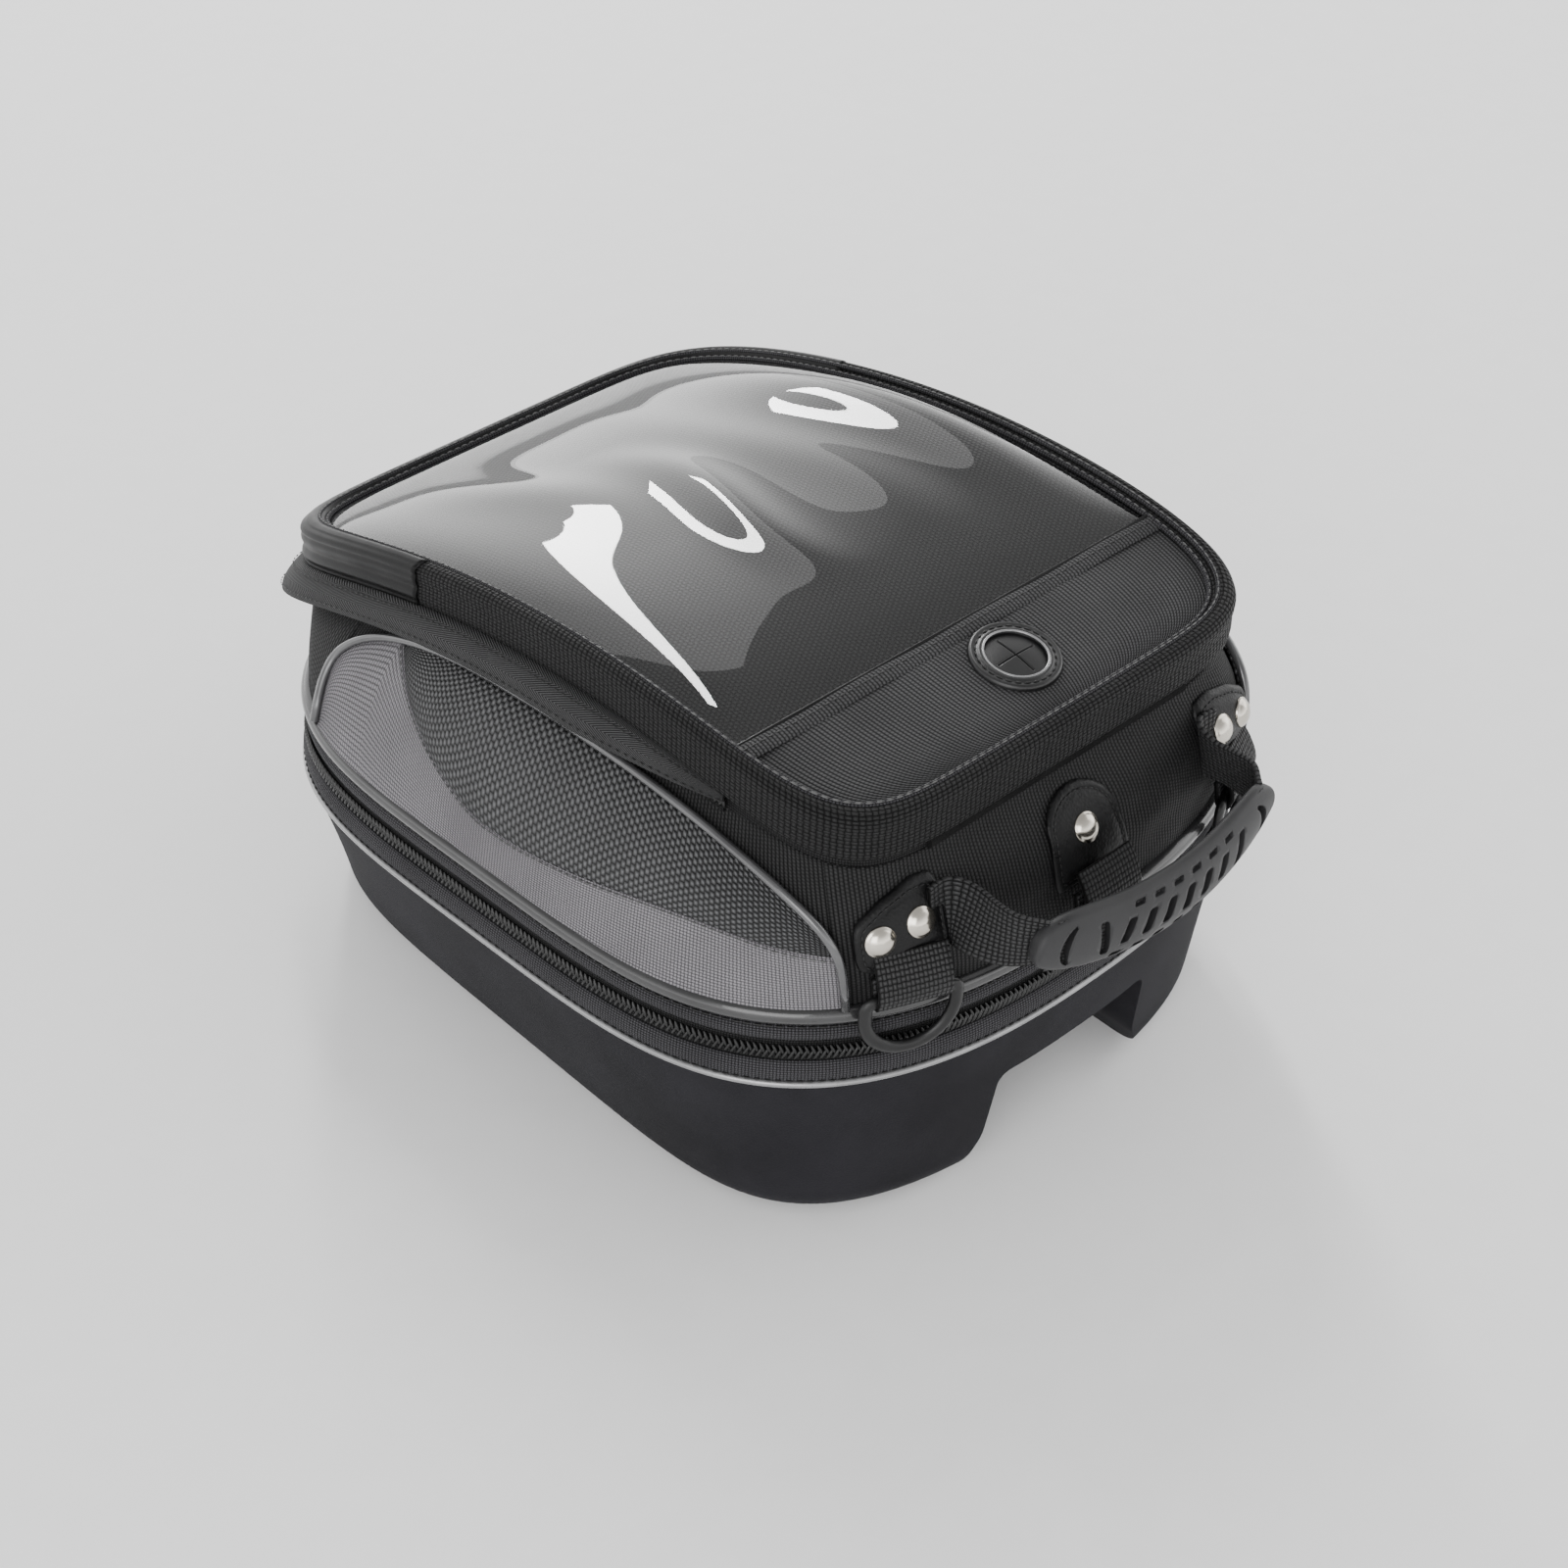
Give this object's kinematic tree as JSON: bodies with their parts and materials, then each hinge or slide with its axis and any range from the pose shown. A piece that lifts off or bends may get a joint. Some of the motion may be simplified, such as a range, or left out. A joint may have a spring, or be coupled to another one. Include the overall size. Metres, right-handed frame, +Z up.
{
  "type": "motorcycle tank bag",
  "caption": "Expandable motorcycle tank bag: moulded base with a tunnel for the tank, zipped lid with a clear map window, carry handle and strap rings.",
  "frame": {"origin": "on the floor, under the middle of the whole bag", "axes": "+X across the bag, +Y towards the rear (away from the handle), +Z up"},
  "size_m": [0.274, 0.3467, 0.1775],
  "materials": {
    "base_fabric": "smooth microfibre skin over moulded foam",
    "nylon": "ribbed ballistic nylon",
    "coarse_mesh": "coarse basket weave",
    "grey_fabric": "grey woven nylon",
    "bead_mesh": "black dimpled mesh with a sheen",
    "lining": "thin lining",
    "silver_piping": "glossy silver piping",
    "black_piping": "glossy grey-black piping",
    "zip_coil": "nylon coil",
    "webbing": "woven webbing",
    "leather": "black synthetic leather, fine grain",
    "rivet_metal": "polished nickel",
    "clear_window": "clear soft sheet",
    "grip_rubber": "satin moulded rubber",
    "ring_plastic": "satin black moulded plastic",
    "port_rubber": "matt rubber",
    "foam": "closed-cell foam",
    "steel": "zinc-plated steel",
    "slider_metal": "black painted zinc"
  },
  "bodies": {
    "base": {"base_shell": "base_fabric", "lining_mats": "foam", "mounting_ring": "ring_plastic", "mounting_screws": "steel", "seam_piping": "silver_piping", "lower_zip_band": "coarse_mesh", "lower_zip_coil": "zip_coil"},
    "upper_body": {"upper_zip_coil": "zip_coil", "upper_zip_band": "coarse_mesh", "body_piping": "black_piping", "expansion_gusset": "lining", "front_panel": "nylon", "rear_panel": "nylon", "left_side_panel": "nylon", "right_side_panel": "nylon", "left_grey_trim": "grey_fabric", "right_grey_trim": "grey_fabric", "left_mesh_insert": "bead_mesh", "right_mesh_insert": "bead_mesh", "left_side_piping": "silver_piping", "right_side_piping": "silver_piping", "main_zip_body_coil": "zip_coil", "hinge_bead": "nylon", "left_corner_patch": "leather", "right_corner_patch": "leather", "middle_patch": "leather", "rivets": "rivet_metal", "left_ring_loop": "webbing", "right_ring_loop": "webbing", "middle_ring_loop": "webbing"},
    "lid": {"lid_band": "coarse_mesh", "lid_rear_binding": "black_piping", "lid_piping": "nylon", "lid_front_panel": "nylon", "map_pocket_backing": "nylon", "map_window": "clear_window", "lid_stiffener": "foam", "cable_port_ring": "port_rubber", "cable_port_membrane": "port_rubber", "main_zip_lid_coil": "zip_coil", "rain_flap": "webbing"},
    "handle": {"handle_grip": "grip_rubber", "handle_straps": "webbing"},
    "left_d_ring": {"left_d_ring": "ring_plastic"},
    "right_d_ring": {"right_d_ring": "ring_plastic"},
    "middle_d_ring": {"middle_d_ring": "ring_plastic"},
    "left_main_slider": {"left_main_slider": "slider_metal"},
    "right_main_slider": {"right_main_slider": "slider_metal"},
    "left_main_pull": {"left_main_pull": "slider_metal"},
    "right_main_pull": {"right_main_pull": "slider_metal"},
    "expansion_slider": {"expansion_slider": "slider_metal"},
    "expansion_pull": {"expansion_pull": "slider_metal"}
  },
  "joints": [
    {"name": "expansion", "type": "slide", "parent": "base", "child": "upper_body", "axis": [0, 0, 1], "range_m": [0, 0.04]},
    {"name": "lid_hinge", "type": "hinge", "parent": "upper_body", "child": "lid", "pos_m": [0, -0.11935, 0.14545], "axis": [1, 0, 0], "range_deg": [0, 90]},
    {"name": "handle_swing", "type": "hinge", "parent": "upper_body", "child": "handle", "pos_m": [0, -0.13385, 0.128], "axis": [1, 0, 0], "range_deg": [-60, 20]},
    {"name": "left_ring_swing", "type": "hinge", "parent": "upper_body", "child": "left_d_ring", "pos_m": [-0.0779, -0.13418, 0.104], "axis": [0.9514, -0.3078, 0], "range_deg": [-100, 0]},
    {"name": "right_ring_swing", "type": "hinge", "parent": "upper_body", "child": "right_d_ring", "pos_m": [0.0779, -0.13418, 0.104], "axis": [0.9515, 0.3078, 0], "range_deg": [-100, 0]},
    {"name": "middle_ring_swing", "type": "hinge", "parent": "upper_body", "child": "middle_d_ring", "pos_m": [0, -0.14555, 0.104], "axis": [0.9998, 0.0186, 0], "range_deg": [-40, 0]},
    {"name": "left_main_zip_travel", "type": "slide", "parent": "upper_body", "child": "left_main_slider", "axis": [-1, 0, 0], "range_m": [0, 0.035]},
    {"name": "left_main_pull_swing", "type": "hinge", "parent": "left_main_slider", "child": "left_main_pull", "pos_m": [-0.014, 0.16835, 0.10746], "axis": [1, 0, 0], "range_deg": [0, 30]},
    {"name": "right_main_zip_travel", "type": "slide", "parent": "upper_body", "child": "right_main_slider", "axis": [1, 0, 0], "range_m": [0, 0.035]},
    {"name": "right_main_pull_swing", "type": "hinge", "parent": "right_main_slider", "child": "right_main_pull", "pos_m": [0.014, 0.16835, 0.10746], "axis": [1, 0, 0], "range_deg": [0, 30]},
    {"name": "expansion_zip_travel", "type": "slide", "parent": "base", "child": "expansion_slider", "axis": [1, 0, 0], "range_m": [-0.035, 0.035]},
    {"name": "expansion_pull_swing", "type": "hinge", "parent": "expansion_slider", "child": "expansion_pull", "pos_m": [0, 0.16405, 0.0769], "axis": [1, 0, 0], "range_deg": [0, 90]}
  ]
}
